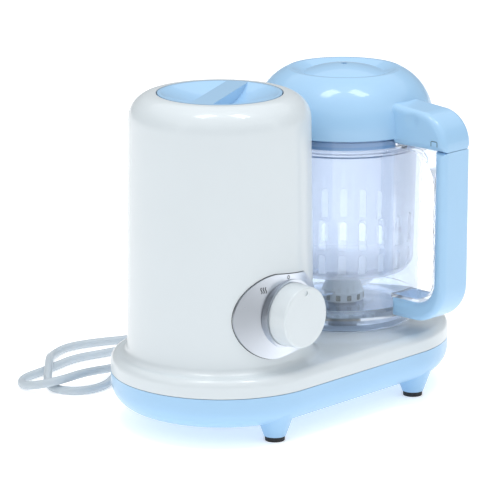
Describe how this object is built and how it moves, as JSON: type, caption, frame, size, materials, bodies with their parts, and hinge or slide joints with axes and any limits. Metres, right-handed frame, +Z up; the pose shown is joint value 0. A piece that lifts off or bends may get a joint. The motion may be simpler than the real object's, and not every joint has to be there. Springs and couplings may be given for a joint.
{
  "type": "baby food maker",
  "caption": "Countertop steamer and blender for baby food: oval footed base with a boiler tower, a control knob, and a lift-off lidded blender jar with a steam basket.",
  "frame": {"origin": "on the table under the middle of the body, without its mains lead", "axes": "+X from the boiler tower to the blender jar, -Y to the front where the knob and the jar handle point, +Z up"},
  "size_m": [0.284, 0.3147, 0.239],
  "materials": {
    "white_shell": "gloss",
    "blue_shell": "gloss",
    "clear_plastic": "clear",
    "frosted_plastic": "frosted",
    "pale_rubber": "matt",
    "black_rubber": "matt",
    "polished_metal": "polished",
    "screw_steel": "plated",
    "shaft_steel": "ground",
    "blade_steel": "polished",
    "core_steel": "laminated",
    "heater_alloy": "cast",
    "copper": "varnished",
    "bush_bronze": "plain",
    "dark_plastic": "matt",
    "grey_plastic": "matt",
    "cream_plastic": "satin",
    "board_green": "lacquered",
    "lead_sheath": "satin",
    "tie_plastic": "satin"
  },
  "bodies": {
    "housing": {"upper_housing": "white_shell", "bottom_cover": "blue_shell", "foot_pads": "black_rubber", "cover_screws": "screw_steel", "knob_bezel": "polished_metal", "rotary_switch": "dark_plastic", "switch_nut": "screw_steel", "filler_neck": "cream_plastic", "tank_spacers": "screw_steel", "boiler_tank": "blade_steel", "neck_gasket": "pale_rubber", "heater_plate": "heater_alloy", "thermostat": "dark_plastic", "steam_tube": "pale_rubber", "steam_nozzle": "pale_rubber", "motor_bracket": "heater_alloy", "bracket_screws": "screw_steel", "motor_core": "core_steel", "field_coils": "copper", "motor_end_frame": "heater_alloy", "carbon_brushes": "dark_plastic", "motor_bearings": "shaft_steel", "drive_belt": "black_rubber", "spindle_bush": "bush_bronze", "lip_seal": "black_rubber", "interlock_switch": "dark_plastic", "control_board": "board_green", "board_parts": "dark_plastic", "mains_lead": "lead_sheath", "mains_tail": "lead_sheath", "lead_coil": "lead_sheath", "coil_tie": "tie_plastic", "cord_relief": "pale_rubber", "power_plug": "lead_sheath", "plug_pins": "bush_bronze"},
    "knob": {"control_knob": "white_shell", "knob_shaft": "shaft_steel"},
    "rotor": {"motor_shaft": "shaft_steel", "rotor_core": "core_steel", "commutator": "copper", "cooling_fan": "grey_plastic", "drive_pulley": "grey_plastic"},
    "spindle": {"driven_pulley": "grey_plastic", "drive_spindle": "shaft_steel", "drive_dog": "grey_plastic", "spindle_clip": "shaft_steel"},
    "plunger": {"interlock_plunger": "cream_plastic"},
    "cap_seal": {"cap_gasket": "pale_rubber"},
    "cap": {"tank_cap": "blue_shell"},
    "jar": {"jar_vessel": "clear_plastic", "handle_cover": "blue_shell", "jar_bush": "bush_bronze"},
    "blade": {"cutting_blade": "blade_steel", "blade_shaft": "shaft_steel", "blade_hub": "cream_plastic", "blade_socket": "grey_plastic"},
    "lid": {"jar_lid": "blue_shell", "lid_seal": "pale_rubber"},
    "basket": {"steam_basket": "frosted_plastic"}
  },
  "joints": [
    {"name": "knob_turn", "type": "hinge", "parent": "housing", "child": "knob", "pos_m": [-0.065, -0.05575, 0.09], "axis": [0, -1, 0], "range_deg": [-60, 60]},
    {"name": "cap_lift", "type": "slide", "parent": "housing", "child": "cap_seal", "axis": [0, 0, 1], "range_m": [0, 0.08]},
    {"name": "cap_turn", "type": "hinge", "parent": "cap_seal", "child": "cap", "pos_m": [-0.065, 0.01425, 0.23], "axis": [0, 0, 1], "range_deg": [0, 90]},
    {"name": "jar_lift", "type": "slide", "parent": "housing", "child": "jar", "axis": [0, 0, 1], "range_m": [0, 0.15]},
    {"name": "lid_lift", "type": "slide", "parent": "jar", "child": "lid", "axis": [0, 0, 1], "range_m": [0, 0.26]},
    {"name": "basket_lift", "type": "slide", "parent": "jar", "child": "basket", "axis": [0, 0, 1], "range_m": [0, 0.13]},
    {"name": "motor_spin", "type": "hinge", "parent": "housing", "child": "rotor", "pos_m": [-0.065, 0.01425, 0.08], "axis": [0, 0, 1], "continuous": true},
    {"name": "spindle_spin", "type": "hinge", "parent": "housing", "child": "spindle", "pos_m": [0.065, 0.01425, 0.04], "axis": [0, 0, 1], "continuous": true},
    {"name": "blade_spin", "type": "hinge", "parent": "jar", "child": "blade", "pos_m": [0.065, 0.01425, 0.066], "axis": [0, 0, 1], "continuous": true},
    {"name": "interlock_rise", "type": "slide", "parent": "housing", "child": "plunger", "axis": [0, 0, 1], "range_m": [0, 0.003]}
  ],
  "couplings": [
    {"joint": "basket_lift", "follows": "lid_lift", "ratio": 0.5},
    {"joint": "spindle_spin", "follows": "motor_spin", "ratio": 0.35484},
    {"joint": "blade_spin", "follows": "motor_spin", "ratio": 0.35484},
    {"joint": "interlock_rise", "follows": "jar_lift", "ratio": 0.02}
  ]
}
